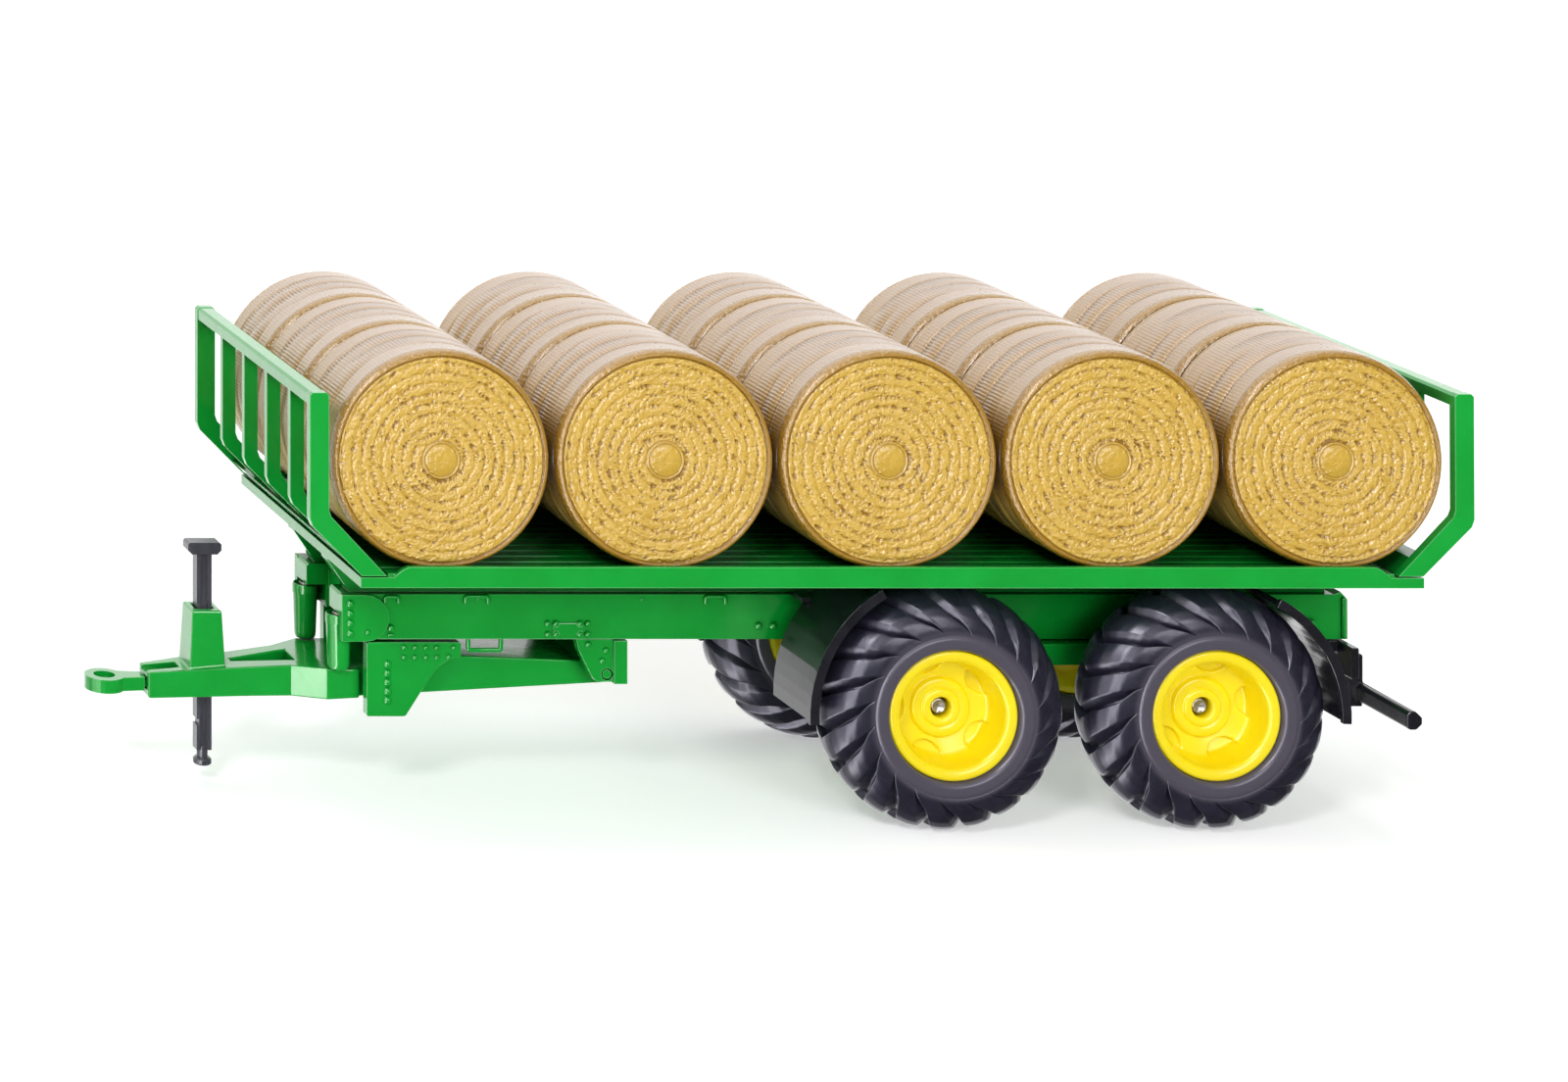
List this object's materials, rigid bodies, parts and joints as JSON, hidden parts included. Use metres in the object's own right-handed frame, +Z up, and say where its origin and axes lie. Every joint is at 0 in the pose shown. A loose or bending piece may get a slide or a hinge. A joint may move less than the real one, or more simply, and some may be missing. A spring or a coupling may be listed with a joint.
{
  "type": "toy bale trailer",
  "caption": "Toy farm trailer with a flat deck, slatted end gates, tandem wheels, a sprung drawbar, a sliding support leg and a load of round bales.",
  "frame": {"origin": "on the ground, on the centreline, halfway along the whole length", "axes": "+X towards the rear gate, -X towards the tow eye, -Y the left side, +Z up"},
  "size_m": [0.2854, 0.08, 0.1039],
  "materials": {
    "green_paint": "glossy mid green enamel on die-cast metal",
    "straw": "golden ochre glossy plastic with embossed straw and net wrap",
    "rim_yellow": "bright yellow moulded plastic",
    "tyre": "blue-black rubber-like plastic with a soft sheen",
    "black_plastic": "glossy black moulded plastic",
    "steel": "plain cut steel rod"
  },
  "bodies": {
    "chassis": {"chassis_frame": "green_paint", "load_deck": "green_paint", "front_gate": "green_paint", "rear_gate": "green_paint", "side_plate_left": "green_paint", "side_plate_right": "green_paint", "drawbar_bracket": "green_paint", "drawbar_pin": "green_paint", "axle_carrier": "green_paint", "axle_front": "steel", "axle_rear": "steel", "cylinder_rod_left": "steel", "cylinder_rod_right": "steel", "mudguard_front_left": "black_plastic", "mudguard_front_right": "black_plastic", "mudguard_rear_left": "black_plastic", "mudguard_rear_right": "black_plastic", "light_board": "black_plastic", "bumper_bar": "black_plastic"},
    "drawbar": {"drawbar": "green_paint", "tow_eye": "green_paint", "cylinder_barrel_left": "green_paint", "cylinder_barrel_right": "green_paint"},
    "support_leg": {"support_leg": "black_plastic"},
    "wheel_front_left": {"tyre_front_left": "tyre", "rim_front_left": "rim_yellow"},
    "wheel_front_right": {"tyre_front_right": "tyre", "rim_front_right": "rim_yellow"},
    "wheel_rear_left": {"tyre_rear_left": "tyre", "rim_rear_left": "rim_yellow"},
    "wheel_rear_right": {"tyre_rear_right": "tyre", "rim_rear_right": "rim_yellow"},
    "bale_1_left_load": {"bale_1_left": "straw"},
    "bale_1_middle_load": {"bale_1_middle": "straw"},
    "bale_1_right_load": {"bale_1_right": "straw"},
    "bale_2_left_load": {"bale_2_left": "straw"},
    "bale_2_middle_load": {"bale_2_middle": "straw"},
    "bale_2_right_load": {"bale_2_right": "straw"},
    "bale_3_left_load": {"bale_3_left": "straw"},
    "bale_3_middle_load": {"bale_3_middle": "straw"},
    "bale_3_right_load": {"bale_3_right": "straw"},
    "bale_4_left_load": {"bale_4_left": "straw"},
    "bale_4_middle_load": {"bale_4_middle": "straw"},
    "bale_4_right_load": {"bale_4_right": "straw"},
    "bale_5_left_load": {"bale_5_left": "straw"},
    "bale_5_middle_load": {"bale_5_middle": "straw"},
    "bale_5_right_load": {"bale_5_right": "straw"}
  },
  "joints": [
    {"name": "drawbar_hinge", "type": "hinge", "parent": "chassis", "child": "drawbar", "pos_m": [-0.0324, 0, 0.0279], "axis": [0, 1, 0], "range_deg": [-1.5, 0]},
    {"name": "support_leg_slide", "type": "slide", "parent": "drawbar", "child": "support_leg", "axis": [0, 0, 1], "range_m": [-0.0015, 0.012]},
    {"name": "wheel_front_left_spin", "type": "hinge", "parent": "chassis", "child": "wheel_front_left", "pos_m": [0.033, -0.0288, 0.026], "axis": [0, 1, 0], "continuous": true},
    {"name": "wheel_front_right_spin", "type": "hinge", "parent": "chassis", "child": "wheel_front_right", "pos_m": [0.033, 0.0288, 0.026], "axis": [0, 1, 0], "continuous": true},
    {"name": "wheel_rear_left_spin", "type": "hinge", "parent": "chassis", "child": "wheel_rear_left", "pos_m": [0.0895, -0.0288, 0.026], "axis": [0, 1, 0], "continuous": true},
    {"name": "wheel_rear_right_spin", "type": "hinge", "parent": "chassis", "child": "wheel_rear_right", "pos_m": [0.0895, 0.0288, 0.026], "axis": [0, 1, 0], "continuous": true},
    {"name": "bale_1_left_lift", "type": "slide", "parent": "chassis", "child": "bale_1_left_load", "axis": [0, 0, 1], "range_m": [0, 0.045]},
    {"name": "bale_1_middle_lift", "type": "slide", "parent": "chassis", "child": "bale_1_middle_load", "axis": [0, 0, 1], "range_m": [0, 0.045]},
    {"name": "bale_1_right_lift", "type": "slide", "parent": "chassis", "child": "bale_1_right_load", "axis": [0, 0, 1], "range_m": [0, 0.045]},
    {"name": "bale_2_left_lift", "type": "slide", "parent": "chassis", "child": "bale_2_left_load", "axis": [0, 0, 1], "range_m": [0, 0.045]},
    {"name": "bale_2_middle_lift", "type": "slide", "parent": "chassis", "child": "bale_2_middle_load", "axis": [0, 0, 1], "range_m": [0, 0.045]},
    {"name": "bale_2_right_lift", "type": "slide", "parent": "chassis", "child": "bale_2_right_load", "axis": [0, 0, 1], "range_m": [0, 0.045]},
    {"name": "bale_3_left_lift", "type": "slide", "parent": "chassis", "child": "bale_3_left_load", "axis": [0, 0, 1], "range_m": [0, 0.045]},
    {"name": "bale_3_middle_lift", "type": "slide", "parent": "chassis", "child": "bale_3_middle_load", "axis": [0, 0, 1], "range_m": [0, 0.045]},
    {"name": "bale_3_right_lift", "type": "slide", "parent": "chassis", "child": "bale_3_right_load", "axis": [0, 0, 1], "range_m": [0, 0.045]},
    {"name": "bale_4_left_lift", "type": "slide", "parent": "chassis", "child": "bale_4_left_load", "axis": [0, 0, 1], "range_m": [0, 0.045]},
    {"name": "bale_4_middle_lift", "type": "slide", "parent": "chassis", "child": "bale_4_middle_load", "axis": [0, 0, 1], "range_m": [0, 0.045]},
    {"name": "bale_4_right_lift", "type": "slide", "parent": "chassis", "child": "bale_4_right_load", "axis": [0, 0, 1], "range_m": [0, 0.045]},
    {"name": "bale_5_left_lift", "type": "slide", "parent": "chassis", "child": "bale_5_left_load", "axis": [0, 0, 1], "range_m": [0, 0.045]},
    {"name": "bale_5_middle_lift", "type": "slide", "parent": "chassis", "child": "bale_5_middle_load", "axis": [0, 0, 1], "range_m": [0, 0.045]},
    {"name": "bale_5_right_lift", "type": "slide", "parent": "chassis", "child": "bale_5_right_load", "axis": [0, 0, 1], "range_m": [0, 0.045]}
  ]
}
